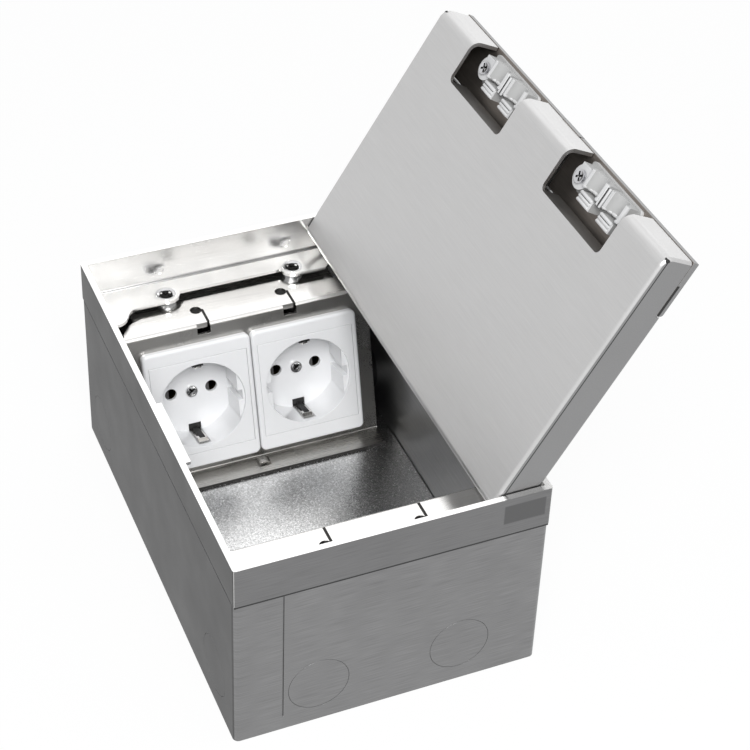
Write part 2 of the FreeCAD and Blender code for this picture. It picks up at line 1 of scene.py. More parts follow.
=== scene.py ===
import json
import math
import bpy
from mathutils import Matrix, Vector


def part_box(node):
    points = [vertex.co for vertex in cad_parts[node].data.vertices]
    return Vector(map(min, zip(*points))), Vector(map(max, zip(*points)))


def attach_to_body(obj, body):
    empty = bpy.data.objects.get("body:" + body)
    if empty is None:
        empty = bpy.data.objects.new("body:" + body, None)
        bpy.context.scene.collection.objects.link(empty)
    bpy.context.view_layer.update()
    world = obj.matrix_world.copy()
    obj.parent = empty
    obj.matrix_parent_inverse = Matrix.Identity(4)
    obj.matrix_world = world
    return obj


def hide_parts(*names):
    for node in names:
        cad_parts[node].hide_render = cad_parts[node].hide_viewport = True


bl_info = {
    "name": "Floor socket box",
    "version": (1, 0, 0),
    "blender": (4, 5, 0),
    "location": "View3D > Sidebar > Floor box",
    "description": "Finishes a floor socket box: sheet metal, sockets, cable guides, screws and a studio",
    "category": "Object",
}

import bpy
import bmesh
from bpy.props import FloatProperty, FloatVectorProperty, PointerProperty
from mathutils import Matrix, Vector

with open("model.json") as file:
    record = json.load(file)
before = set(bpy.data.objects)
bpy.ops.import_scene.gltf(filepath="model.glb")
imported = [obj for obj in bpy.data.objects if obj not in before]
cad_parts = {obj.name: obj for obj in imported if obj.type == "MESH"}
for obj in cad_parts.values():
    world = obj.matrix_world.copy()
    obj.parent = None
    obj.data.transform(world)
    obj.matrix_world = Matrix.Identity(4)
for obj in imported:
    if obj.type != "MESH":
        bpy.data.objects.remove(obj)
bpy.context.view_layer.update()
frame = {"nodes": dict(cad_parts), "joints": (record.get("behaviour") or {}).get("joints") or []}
NODES = frame["nodes"]
MM = 0.001
WELD = 2e-6
JOINTS = {joint["name"]: joint for joint in frame["joints"]}


# ---------------------------------------------------------------- shader helpers
class Value:
    """A number socket that takes part in sums."""

    def __init__(self, finish, socket):
        self.finish, self.socket = finish, socket

    def _sum(self, kind, a, b):
        return self.finish.node("ShaderNodeMath", {"operation": kind}, {0: a, 1: b})

    def __add__(self, other):
        return self._sum("ADD", self, other)

    def __sub__(self, other):
        return self._sum("SUBTRACT", self, other)

    def __rsub__(self, other):
        return self._sum("SUBTRACT", other, self)

    def __mul__(self, other):
        return self._sum("MULTIPLY", self, other)

    __radd__, __rmul__ = __add__, __mul__


class Finish:
    """A material, or the world, under construction."""

    def __init__(self, name, world=None):
        self.material = world or bpy.data.materials.new(name)
        self.material.use_nodes = True
        self.tree = self.material.node_tree
        self.tree.nodes.clear()
        self.output = self.tree.nodes.new("ShaderNodeOutput" + ("World" if world else "Material"))

    def node(self, kind, settings=None, inputs=None, output=0):
        """A new node: its settings are set first, then the values or links of its sockets."""
        made = self.tree.nodes.new(kind)
        for key, value in (settings or {}).items():
            if key == "stops":
                ramp = made.color_ramp
                for i, (place, tone) in enumerate(value):
                    stop = ramp.elements[i] if i < 2 else ramp.elements.new(place)
                    stop.position, stop.color = place, (tone, tone, tone, 1.0)
            else:
                setattr(made, key, value)
        for key, value in (inputs or {}).items():
            if isinstance(value, Value):
                self.tree.links.new(value.socket, made.inputs[key])
            else:
                made.inputs[key].default_value = value
        return Value(self, made.outputs[output])

    def coords(self):
        return self.node("ShaderNodeTexCoord", output="Object")

    def along(self, axis):
        return self.node("ShaderNodeSeparateXYZ", {}, {0: self.coords()}, output=axis)

    def noise(self, scale, detail=2.0, roughness=0.5):
        """Noise in Object coordinates, with its own scale along each axis."""
        stretched = self.node("ShaderNodeMapping", {}, {"Vector": self.coords(), "Scale": scale})
        return self.node("ShaderNodeTexNoise", {},
                         {"Vector": stretched, "Scale": 1.0, "Detail": detail, "Roughness": roughness})

    def ramp(self, value, stops):
        return self.node("ShaderNodeValToRGB", {"stops": stops}, {"Fac": value})

    def rise(self, value, border):
        """0 up to zero and 1 past a border above it."""
        return self.ramp(value * (1.0 / border), ((0.0, 0.0), (1.0, 1.0)))

    def spot(self, centre, radius):
        """Strong at a place, fading to 0 at a distance from it; flatter than it is wide."""
        offset = self.node("ShaderNodeVectorMath", {"operation": "SUBTRACT"}, {0: self.coords(), 1: centre})
        flat = self.node("ShaderNodeVectorMath", {"operation": "MULTIPLY"}, {0: offset, 1: (1.0, 1.0, 1.9)})
        away = self.node("ShaderNodeVectorMath", {"operation": "LENGTH"}, {0: flat}, output="Value")
        return self.ramp(away * (1.0 / radius), ((0.1, 0.85), (1.0, 0.0)))

    def within(self, low, high, border=0.0005):
        """1 between two corners, fading to 0 over a narrow border."""
        mask = 1.0
        for i, axis in enumerate("XYZ"):
            along = self.along(axis)
            mask = self.rise(along - low[i], border) * mask
            mask = self.rise(high[i] - along, border) * mask
        return mask

    def over(self, tone, mask, colour):
        """A colour laid over a tone where a mask is 1."""
        return self.node("ShaderNodeMix", {"data_type": "RGBA"},
                         {"Factor": mask, 6: tone, 7: (*colour, 1.0)}, output=2)

    def tint(self, factor, low, high):
        return self.over((*low, 1.0), factor, high)

    def shine(self, shader):
        self.tree.links.new(shader.socket, self.output.inputs["Surface"])

    def surface(self, settings, bump, strength, distance):
        """The finished material, with a fine relief."""
        settings["Normal"] = self.node("ShaderNodeBump", {},
                                       {"Height": bump, "Strength": strength, "Distance": distance})
        self.shine(self.node("ShaderNodeBsdfPrincipled", {}, settings))
        return self.material


def shade(colour, factor):
    """A colour made lighter or darker."""
    return tuple(min(1.0, c * factor) for c in colour)


ALONG = {"x": (60.0, 3200.0, 3200.0), "y": (3200.0, 60.0, 3200.0), "level": (70.0, 70.0, 3600.0)}


def brushed(name, colour, rough, grain, depth, spread, edge=1.0, painted_lit_top=None, panel=None, pressed_shade_spots=()):
    """Brushed sheet: fine lines one way and a faint cloudiness.

    edge dims what it reflects at a flat angle; the argument after it is a height and a lighter colour painted
    above it as painted light on a top that catches more light; panel is two corners of a darker blank area;
    and the last argument holds the middles of dark spots painted as the shade and reflection of pressed
    hollows."""
    f = Finish(name)
    lines = f.noise(ALONG[grain])
    clouds = f.noise((45.0, 45.0, 45.0))
    even = f.ramp(lines * 0.75 + clouds * 0.25, ((0.30, 0.0), (0.70, 1.0)))
    tone = f.tint(even, shade(colour, 1.0 - spread), shade(colour, 1.0 + spread))
    # Painted light: above the given height the colour turns lighter, for a top that catches more light.
    if painted_lit_top:
        tone = f.over(tone, f.rise(f.along("Z") - painted_lit_top[0], 0.005), painted_lit_top[1])
    if panel:
        tone = f.over(tone, f.within(*panel), shade(colour, 0.66))
    # Painted shade and reflection: a dark spot at the middle of each pressed hollow.
    for spot_middle in pressed_shade_spots:
        tone = f.over(tone, f.spot(spot_middle, 0.0034), shade(colour, 0.1))
    return f.surface({"Base Color": tone, "Metallic": 1.0, "Specular Tint": (edge, edge, edge, 1.0),
                      "Roughness": rough + (clouds - 0.5) * 0.2 + (lines - 0.5) * 0.12},
                     lines, depth, 0.00006)


def galvanised(name, colour, rough):
    """Zinc-coated sheet with a fine sparkle."""
    f = Finish(name)
    grains = f.noise((1500.0, 1500.0, 1500.0), roughness=0.7)
    patches = f.noise((25.0, 25.0, 25.0))
    speckle = f.ramp(grains, ((0.36, 0.0), (0.66, 1.0)))
    return f.surface({"Base Color": f.tint(speckle, shade(colour, 0.55), shade(colour, 1.35)),
                      "Metallic": 1.0,
                      "Roughness": rough + (patches - 0.5) * 0.03 + (grains - 0.5) * 0.25},
                     grains, 0.3, 0.0002)


def moulded(name, colour, rough, coat=0.0, grain=0.05):
    """Moulded plastic or rubber."""
    f = Finish(name)
    fine = f.noise((2600.0, 2600.0, 2600.0))
    broad = f.noise((30.0, 30.0, 30.0))
    return f.surface({"Base Color": f.tint(broad, shade(colour, 0.97), shade(colour, 1.03)),
                      "Roughness": rough + (broad - 0.5) * 0.06,
                      "Coat Weight": coat, "Coat Roughness": 0.08}, fine, grain, 0.00004)


def plated(name, colour, rough):
    """Bright plated metal of small turned and stamped pieces."""
    f = Finish(name)
    broad = f.noise((400.0, 400.0, 400.0), 3.0)
    return f.surface({"Base Color": f.tint(broad, shade(colour, 0.85), shade(colour, 1.1)),
                      "Metallic": 1.0, "Roughness": rough + (broad - 0.5) * 0.15}, broad, 0.08, 0.0001)


# ---------------------------------------------------------------- modelling helpers
def alone(piece):
    """Nothing is selected but this piece, which is active."""
    if bpy.context.mode != "OBJECT":
        bpy.ops.object.mode_set(mode="OBJECT")
    bpy.ops.object.select_all(action="DESELECT")
    piece.select_set(True)
    bpy.context.view_layer.objects.active = piece


def edit(piece):
    """Edit mode on one piece, with nothing selected."""
    alone(piece)
    bpy.ops.object.mode_set(mode="EDIT")
    bpy.ops.mesh.select_all(action="DESELECT")


def pick_edges(piece, test):
    """Selects the edges that pass a test, in edit mode."""
    bpy.ops.mesh.select_mode(type="EDGE")
    for edge in bmesh.from_edit_mesh(piece.data).edges:
        edge.select_set(bool(test(edge)))


def pick_faces(piece, test):
    """Selects the faces whose middle and normal pass a test, in edit mode."""
    bpy.ops.mesh.select_mode(type="FACE")
    bpy.ops.mesh.select_all(action="DESELECT")
    mesh = bmesh.from_edit_mesh(piece.data)
    for face in mesh.faces:
        face.select_set(bool(test(face.calc_center_median(), face.normal)))
    bmesh.update_edit_mesh(piece.data)


def settle(piece):
    """Puts the place of a finished piece into its mesh."""
    alone(piece)
    bpy.ops.object.transform_apply(location=True, rotation=True, scale=True)


def apply_modifier(piece, kind, **settings):
    """Adds a modifier and applies it."""
    alone(piece)
    modifier = piece.modifiers.new(kind.title(), kind)
    for key, value in settings.items():
        setattr(modifier, key, value)
    bpy.ops.object.modifier_apply(modifier=modifier.name)


def smooth(piece, angle=35.0):
    """Smooth shading up to an angle in degrees."""
    alone(piece)
    bpy.ops.object.shade_smooth_by_angle(angle=math.radians(angle))


def soften(piece, width, angle=35.0):
    """Rounds the sharp edges a little, so that they catch the light."""
    apply_modifier(piece, "BEVEL", width=width, segments=2, limit_method="ANGLE",
                   angle_limit=math.radians(angle))
    smooth(piece)
    apply_modifier(piece, "WEIGHTED_NORMAL", keep_sharp=True)


def carve(piece, cutter):
    """Takes the form of a cutter out of a piece."""
    apply_modifier(piece, "BOOLEAN", operation="DIFFERENCE", object=cutter, solver="EXACT")
    bpy.data.objects.remove(cutter)


def skin_of(node, name, width):
    """A welded copy of a frame node with softened edges, which stands for it."""
    piece = bpy.data.objects.new(name, NODES[node].data.copy())
    bpy.context.scene.collection.objects.link(piece)
    piece.data.materials.clear()
    edit(piece)
    bpy.ops.mesh.select_all(action="SELECT")
    bpy.ops.mesh.remove_doubles(threshold=WELD)
    bpy.ops.mesh.dissolve_limited(angle_limit=math.radians(0.6), delimit={"NORMAL"})
    bpy.ops.object.mode_set(mode="OBJECT")
    soften(piece, width)
    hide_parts(node)
    return piece


def attach(piece, body, node, *materials):
    """Adds a piece's materials and lets it ride on a body; the node is not used."""
    for material in materials:
        piece.data.materials.append(material)
    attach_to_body(piece, body)


def dress(node, material):
    """A frame node that keeps its own mesh gets its finish."""
    slots = NODES[node].material_slots
    if slots:
        slots[0].material = material
    else:
        NODES[node].data.materials.append(material)


def paint(piece, choose):
    """Gives each face the number of one of the piece's materials."""
    for face in piece.data.polygons:
        face.material_index = choose(face.center, face.normal)


def mm(x, y, z):
    """A place given in millimetres."""
    return Vector((x, y, z)) * MM


def corners(points):
    """Lowest and highest corner of some points."""
    points = list(points)
    return [Vector([pick(point[i] for point in points) for i in range(3)]) for pick in (min, max)]


def block(name, low, high, turn=Matrix(), bevel=0.0, segments=2):
    """A box between two corners of a turned grid, with rounded edges."""
    low, high = Vector(low), Vector(high)
    bpy.ops.object.select_all(action="DESELECT")
    bpy.ops.mesh.primitive_cube_add(size=1.0)
    piece = bpy.context.object
    piece.name = piece.data.name = name
    piece.scale, piece.location = high - low, (low + high) / 2
    settle(piece)
    if bevel:
        apply_modifier(piece, "BEVEL", width=bevel, segments=segments, limit_method="ANGLE",
                       angle_limit=math.radians(40))
    piece.matrix_world = turn
    settle(piece)
    smooth(piece)
    return piece


def bar(name, start, end, radius, turn, vertices=12):
    """A round bar with domed ends between two points of a turned grid."""
    start, end = Vector(start), Vector(end)
    bpy.ops.object.select_all(action="DESELECT")
    bpy.ops.mesh.primitive_cylinder_add(vertices=vertices, radius=radius, depth=(end - start).length)
    piece = bpy.context.object
    piece.name = piece.data.name = name
    edit(piece)
    pick_faces(piece, lambda middle, normal: abs(normal.z) > 0.9)
    bpy.ops.mesh.bevel(offset=radius * 0.45, segments=2, affect="EDGES")
    bpy.ops.object.mode_set(mode="OBJECT")
    lean = Vector((0, 0, 1)).rotation_difference(end - start).to_matrix().to_4x4()
    piece.matrix_world = turn @ Matrix.Translation((start + end) / 2) @ lean
    settle(piece)
    smooth(piece, 50.0)
    return piece


def join(name, pieces):
    """One object of several."""
    alone(pieces[0])
    for piece in pieces:
        piece.select_set(True)
    bpy.ops.object.join()
    pieces[0].name = pieces[0].data.name = name
    return pieces[0]


def cross_screw(name, tip, out, radius, head, length, shank, rings, deep=1.2, dark=0.05):
    """A screw with a cross recess: tip is the middle of its crown and out leaves it along the axis.

    rings are the insets of the crown with their steps, deep is the depth of the recess below them
    and dark is where the painted shade in the recess starts, all in millimetres or parts of the radius."""
    bpy.ops.object.select_all(action="DESELECT")
    bpy.ops.mesh.primitive_cylinder_add(vertices=36, radius=radius, depth=head, location=(0, 0, -head / 2))
    screw = bpy.context.object
    screw.name = screw.data.name = name
    settle(screw)
    edit(screw)
    pick_faces(screw, lambda middle, normal: normal.z > 0.9)
    for inwards, step in rings:
        bpy.ops.mesh.inset(thickness=radius * inwards)
        bpy.ops.transform.translate(value=(0, 0, step * MM))
    pick_faces(screw, lambda middle, normal: normal.z < -0.9)
    bpy.ops.mesh.inset(thickness=radius - shank)
    bpy.ops.mesh.extrude_region_move(TRANSFORM_OT_translate={"value": (0, 0, head - length)})
    bpy.ops.object.mode_set(mode="OBJECT")
    level = sum(step for inwards, step in rings) * MM
    arm, half_width = radius * 0.7, radius * 0.16
    for quarter in range(2):
        turn = Matrix.Rotation(0.6 + quarter * math.pi / 2, 4, "Z")
        carve(screw, block("cutter", (-arm, -half_width, level - deep * MM),
                           (arm, half_width, level + 0.003), turn))
    # Painted shade: faces deep in the cross recess take the second, dark material.
    paint(screw, lambda centre, normal: int(level - (deep + 0.2) * MM < centre.z < level - dark * MM
                                            and centre.xy.length < radius * 0.74))
    lean = Vector((0, 0, 1)).rotation_difference(out).to_matrix().to_4x4()
    screw.matrix_world = Matrix.Translation(tip) @ lean
    settle(screw)
    smooth(screw, 30.0)
    return screw


def loose_parts(node):
    """The points of each separate part of a frame node, in the order of its mesh."""
    mesh = bmesh.new()
    mesh.from_mesh(NODES[node].data)
    bmesh.ops.remove_doubles(mesh, verts=mesh.verts, dist=WELD)
    reached, parts = set(), []
    for start in mesh.verts:
        if start in reached:
            continue
        reached.add(start)
        group, queue = [], [start]
        while queue:
            vert = queue.pop()
            group.append(vert.co.copy())
            for edge in vert.link_edges:
                other = edge.other_vert(vert)
                if other not in reached:
                    reached.add(other)
                    queue.append(other)
        parts.append(group)
    mesh.free()
    return parts


def crown(points, out):
    """Middle and radius of the end ring of a turned part, and its length along the axis."""
    reach = max(point.dot(out) for point in points)
    ring = [point for point in points if reach - point.dot(out) < 1e-5]
    tip = sum(ring, Vector()) / len(ring)
    return tip, max((point - tip).length for point in ring), reach - min(point.dot(out) for point in points)


def screws_of(node, name, out_of, head, shank, rings, body, *materials, **recess):
    """Screws with cross recesses in the places of a frame node's screws."""
    pieces = []
    for points in loose_parts(node):
        out = out_of(sum(points, Vector()) / len(points))
        tip, radius, length = crown(points, out)
        piece = cross_screw(name, tip, out, radius, head, length, shank, rings, **recess)
        for material in materials:
            piece.data.materials.append(material)
        pieces.append(piece)
    screws = join(name, pieces)
    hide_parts(node)
    attach(screws, body, node)


# ---------------------------------------------------------------- sizes and places from the frame
# OPEN turns the closed lid to where it stands, CLOSED turns it back, and OPEN_MM also takes millimetres.
LID_AXIS = Vector(JOINTS["lid_hinge"]["pos_m"])
LID_OPEN = math.radians(-JOINTS["lid_hinge"]["range_deg"][0])
OPEN = Matrix.Translation(LID_AXIS) @ Matrix.Rotation(LID_OPEN, 4, "Y") @ Matrix.Translation(-LID_AXIS)
OPEN_MM = OPEN @ Matrix.Scale(MM, 4)
CLOSED = OPEN.inverted()
DOWN = OPEN.to_3x3() @ Vector((0, 0, -1))
TRIM_LOW, TRIM_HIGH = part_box("trim_frame")
INNER_WALL = TRIM_HIGH.y - 0.0025
SIDES = ("rear", "front")
HANDS = ("left", "right")
# How far the brackets lean, and where a guide's two saddles lie beside its middle, in millimetres.
TILT = math.radians(15.1)
SADDLES = (5.2, -10.7)


class StageSettings(bpy.types.PropertyGroup):
    """Camera, floor and lamps"""
    lens: FloatProperty(name="Lens", description="Focal length of the camera in millimetres", default=97.14)
    place: FloatVectorProperty(name="Camera place", description="Where the camera stands",
                               subtype="TRANSLATION", unit="LENGTH",
                               default=(-0.23591, -0.59934, 0.62005))
    turn: FloatVectorProperty(name="Camera turn", description="Rotation of the camera", subtype="EULER",
                              default=(math.radians(54.382), math.radians(-1.007), math.radians(-21.432)))
    shift_x: FloatProperty(name="Shift across", description="Sideways shift of the view", default=0.0708)
    shift_y: FloatProperty(name="Shift up", description="Upward shift of the view", default=-0.1828)
    floor: FloatVectorProperty(name="Floor", description="Colour of the floor", subtype="COLOR",
                               default=(0.9, 0.9, 0.9))
    sky: FloatProperty(name="Sky", description="Strength of the surroundings", default=0.5)
    key: FloatProperty(name="Key lamp", description="Power of the main softbox in watts", default=15.5)


class MetalSettings(bpy.types.PropertyGroup):
    """Colours of the sheet metal, and the softness of its edges"""
    box: FloatVectorProperty(name="Box", description="Colour of the lower box", subtype="COLOR",
                             default=(0.24, 0.24, 0.242))
    trim: FloatVectorProperty(name="Trim", description="Colour of the trim inside and on top",
                              subtype="COLOR", default=(0.85, 0.845, 0.835))
    # Painted shade: a darker copy of the trim's colour for its outer faces.
    trim_side_shade: FloatVectorProperty(name="Trim sides", description="Colour of the trim's outer faces",
                                   subtype="COLOR", default=(0.20, 0.20, 0.202))
    lid: FloatVectorProperty(name="Lid", description="Colour of the lid's sheet", subtype="COLOR",
                             default=(0.575, 0.573, 0.573))
    # Painted shade: a darker copy of the lid's colour for its ends and the outer faces of its cover and
    # flaps.
    lid_side_shade: FloatVectorProperty(name="Lid sides", description="Colour of the lid's outer faces",
                                  subtype="COLOR", default=(0.29, 0.29, 0.292))
    bracket: FloatVectorProperty(name="Brackets", description="Colour of the brackets", subtype="COLOR",
                                 default=(0.80, 0.79, 0.775))
    floor: FloatVectorProperty(name="Floor plate", description="Colour of the floor plate", subtype="COLOR",
                               default=(0.95, 0.95, 0.945))
    # Painted shade: a darker copy of the box's colour for its two long outer walls.
    wall: FloatVectorProperty(name="Long walls", description="Colour of the box's two long walls",
                              subtype="COLOR", default=(0.12, 0.12, 0.121))
    # Painted shade: the darkest copy of the trim's colour, for its two long outer walls.
    trim_wall_shade: FloatVectorProperty(name="Long trim walls", description="Colour of the trim's long sides",
                                   subtype="COLOR", default=(0.11, 0.11, 0.11))
    # Painted shade: a darker copy of the brackets' colour for their inward face behind the sockets.
    socket_face_shade: FloatVectorProperty(name="Bracket face",
                                     description="Colour of the sheet behind the sockets",
                                     subtype="COLOR", default=(0.38, 0.373, 0.36))
    # Painted shade: a darker copy of the brackets' colour for their foot and the aprons, also used as painted
    # light on the top of the inward face.
    lip: FloatVectorProperty(name="Bracket lip", description="Colour of the bracket's foot", subtype="COLOR",
                             default=(0.52, 0.51, 0.49))
    # Painted shade: a darker copy of the lid's colour inside its openings.
    rim: FloatVectorProperty(name="Opening rims", description="Colour inside the lid's openings",
                             subtype="COLOR", default=(0.33, 0.32, 0.31))
    # Painted shade: a dark brownish colour for the faces of the cover and flaps inside the lid.
    inside: FloatVectorProperty(name="Lid inside", description="Colour of the cover and flaps within the lid",
                                subtype="COLOR", default=(0.26, 0.235, 0.215))
    # Painted shade: a dark strip along the crease at the foot of the trim's end walls.
    crease_shade: FloatVectorProperty(name="Fold bead", description="Colour of the bead at the wall's foot",
                              subtype="COLOR", default=(0.30, 0.30, 0.30))
    edge: FloatProperty(name="Edge", description="Softening of sheet edges", unit="LENGTH", default=0.00022)


class PlasticSettings(bpy.types.PropertyGroup):
    """Colours of the moulded pieces, and the roundness of the socket plates"""
    socket: FloatVectorProperty(name="Sockets", description="Colour of the socket fronts", subtype="COLOR",
                                default=(0.86, 0.865, 0.875))
    guide: FloatVectorProperty(name="Guides", description="Colour of the cable guides", subtype="COLOR",
                               default=(0.63, 0.63, 0.63))
    # Painted shade: a darker copy of the guides' grey for their hollows and deeper faces.
    trough_shade: FloatVectorProperty(name="Troughs", description="Colour of the guides' hollows", subtype="COLOR",
                                default=(0.42, 0.42, 0.415))
    corner: FloatProperty(name="Corner", description="Corner radius of the socket plates", unit="LENGTH",
                          default=0.0025)


class FLOORBOX_OT_stage(bpy.types.Operator):
    """Floor, surroundings, lamps and camera"""
    bl_idname = "floorbox.stage"
    bl_label = "Stage"

    def execute(self, context):
        s = context.scene.floorbox_stage
        scene = context.scene
        scene.view_settings.view_transform = "Standard"
        camera = bpy.data.objects.new("camera", bpy.data.cameras.new("camera"))
        scene.collection.objects.link(camera)
        camera.location, camera.rotation_euler = s.place, s.turn
        camera.data.lens, camera.data.sensor_width = s.lens, 36.0
        camera.data.shift_x, camera.data.shift_y = s.shift_x, s.shift_y
        camera.data.clip_start, camera.data.clip_end = 0.02, 50.0
        scene.camera = camera
        self.floor(s)
        self.world(scene, s)
        self.lamps(scene, s)
        return {"FINISHED"}

    def floor(self, s):
        """A wide floor that looks white and keeps a soft shadow."""
        bpy.ops.object.select_all(action="DESELECT")
        bpy.ops.mesh.primitive_plane_add(size=14.0, location=(0, 0, 0))
        floor = bpy.context.object
        floor.name = "floor"
        edit(floor)
        bpy.ops.mesh.select_all(action="SELECT")
        bpy.ops.mesh.subdivide(number_cuts=3)
        bpy.ops.object.mode_set(mode="OBJECT")
        f = Finish("floor")
        soft = f.node("ShaderNodeBsdfDiffuse", {}, {"Color": (*s.floor, 1.0)})
        white = f.node("ShaderNodeEmission", {}, {"Color": (1, 1, 1, 1), "Strength": 1.0})
        f.shine(f.node("ShaderNodeMixShader", {}, {0: self.seen(f) * 0.93, 1: soft, 2: white}))
        floor.data.materials.append(f.material)

    def seen(self, f):
        """1 for rays from the camera, mirrors and glass."""
        camera, gloss, glass = [f.node("ShaderNodeLightPath", output=kind)
                                for kind in ("Is Camera Ray", "Is Glossy Ray", "Is Transmission Ray")]
        return f.node("ShaderNodeMath", {"operation": "ADD", "use_clamp": True},
                      {0: camera + gloss, 1: glass})

    def world(self, scene, s):
        """Cool, even surroundings that look white."""
        scene.world = bpy.data.worlds.new("studio")
        f = Finish("studio", scene.world)
        plain = f.node("ShaderNodeBackground", {}, {"Color": (0.95, 0.97, 1.0, 1.0), "Strength": s.sky})
        white = f.node("ShaderNodeBackground", {}, {"Color": (1, 1, 1, 1), "Strength": 1.0})
        f.shine(f.node("ShaderNodeMixShader", {}, {0: self.seen(f), 1: plain, 2: white}))

    def lamps(self, scene, s):
        """Three square softboxes that face the object."""
        target = Vector((0, 0, 0.06))
        for name, place, size, share in (("key", (-0.25, -0.85, 1.1), 0.6, 1.0),
                                         ("back", (0.32, 0.88, 0.92), 0.6, 0.05),
                                         ("rim", (1.1, 0.95, 0.55), 0.9, 0.10)):
            lamp = bpy.data.lights.new(name, "AREA")
            lamp.shape, lamp.size, lamp.energy = "SQUARE", size, s.key * share
            holder = bpy.data.objects.new(name, lamp)
            scene.collection.objects.link(holder)
            holder.location = place
            holder.rotation_euler = (target - Vector(place)).to_track_quat("-Z", "Y").to_euler()


def outside(node, margin=0.0003):
    """A test for the upright outer faces of a node."""
    low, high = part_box(node)

    def test(centre, normal):
        across = not low.x + margin <= centre.x <= high.x - margin
        along = not low.y + margin <= centre.y <= high.y - margin
        return abs(normal.z) < 0.5 and (across or along)

    return test


def on_long_wall(normal):
    """Whether a face looks across the box, as its two long walls do."""
    return abs(normal.x) > 0.7


class FLOORBOX_OT_box(bpy.types.Operator):
    """Lower box, knock-outs, floor plate and seal"""
    bl_idname = "floorbox.box"
    bl_label = "Lower box"

    def execute(self, context):
        s = context.scene.floorbox_metal
        sheet = brushed("box_sheet", s.box, 0.38, "level", 0.2, 0.2)
        # Painted shade: the long outer walls take a darker copy of the box's colour, with dimmer reflections
        # at flat angles, for faces that catch less light.
        shaded_wall_sheet = brushed("box_long_wall_painted_shade", s.wall, 0.38, "level", 0.2, 0.2, edge=0.7)
        box = skin_of("lower_box", "box_shell", s.edge)
        attach(box, "floor_box", "lower_box", sheet, shaded_wall_sheet)
        outer = outside("lower_box")
        paint(box, lambda centre, normal: int(on_long_wall(normal) and outer(centre, normal)))
        self.shadows()
        discs = skin_of("knockout_discs", "knockouts", 0.00008)
        attach(discs, "floor_box", "knockout_discs", sheet, shaded_wall_sheet)
        # Knock-outs in the long walls take the same painted shade.
        paint(discs, lambda centre, normal: int(on_long_wall(normal)))
        dress("floor_plate", galvanised("floor_sheet", s.floor, 0.23))
        dress("trim_gasket", moulded("seal_rubber", (0.03, 0.03, 0.03), 0.75))
        posts = skin_of("level_posts", "posts", 0.0001)
        attach(posts, "floor_box", "level_posts", plated("post_zinc", (0.55, 0.56, 0.58), 0.3))
        return {"FINISHED"}

    def shadows(self):
        """A dark strip under the trim's edge on both short sides."""
        low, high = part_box("lower_box")
        inset, height, skin = 0.0004, 0.0008, 0.00004
        strips = [block("trim_shadow", (low.x + inset, side * high.y - skin, high.z - height),
                        (high.x - inset, side * high.y + skin, high.z)) for side in (-1, 1)]
        attach(join("trim_shadows", strips), "floor_box", "lower_box",
               moulded("joint_shadow", (0.02, 0.02, 0.02), 0.7))


class FLOORBOX_OT_trim(bpy.types.Operator):
    """Trim frame"""
    bl_idname = "floorbox.trim"
    bl_label = "Trim frame"

    def execute(self, context):
        s = context.scene.floorbox_metal
        trim = skin_of("trim_frame", "trim", s.edge)
        height = TRIM_HIGH.z - 0.0088
        # Middles of the dark spots painted as the shade and reflection of the pressed hollows in the inner
        # faces of the trim's two ends.
        pressed_shade_spots = [Vector((x, y, height)) for x in (-0.030, 0.030) for y in (-INNER_WALL, INNER_WALL)]
        blank = (Vector((TRIM_HIGH.x - 0.0205, TRIM_LOW.y - 0.001, TRIM_HIGH.z - 0.0130)),
                 Vector((TRIM_HIGH.x - 0.0025, TRIM_LOW.y + 0.001, TRIM_HIGH.z - 0.0033)))
        # Painted shade: the trim's outer faces take darker copies of its colour, darkest on the long walls,
        # for faces that catch less light.
        attach(trim, "floor_box", "trim_frame",
               brushed("trim_sheet", s.trim, 0.22, "level", 0.1, 0.05, pressed_shade_spots=pressed_shade_spots),
               brushed("trim_outer_painted_shade", s.trim_side_shade, 0.36, "level", 0.2, 0.16, panel=blank),
               brushed("trim_long_painted_shade", s.trim_wall_shade, 0.36, "level", 0.2, 0.16, edge=0.7))
        outer = outside("trim_frame")
        paint(trim, lambda centre, normal: (1 + on_long_wall(normal)) if outer(centre, normal) else 0)
        return {"FINISHED"}


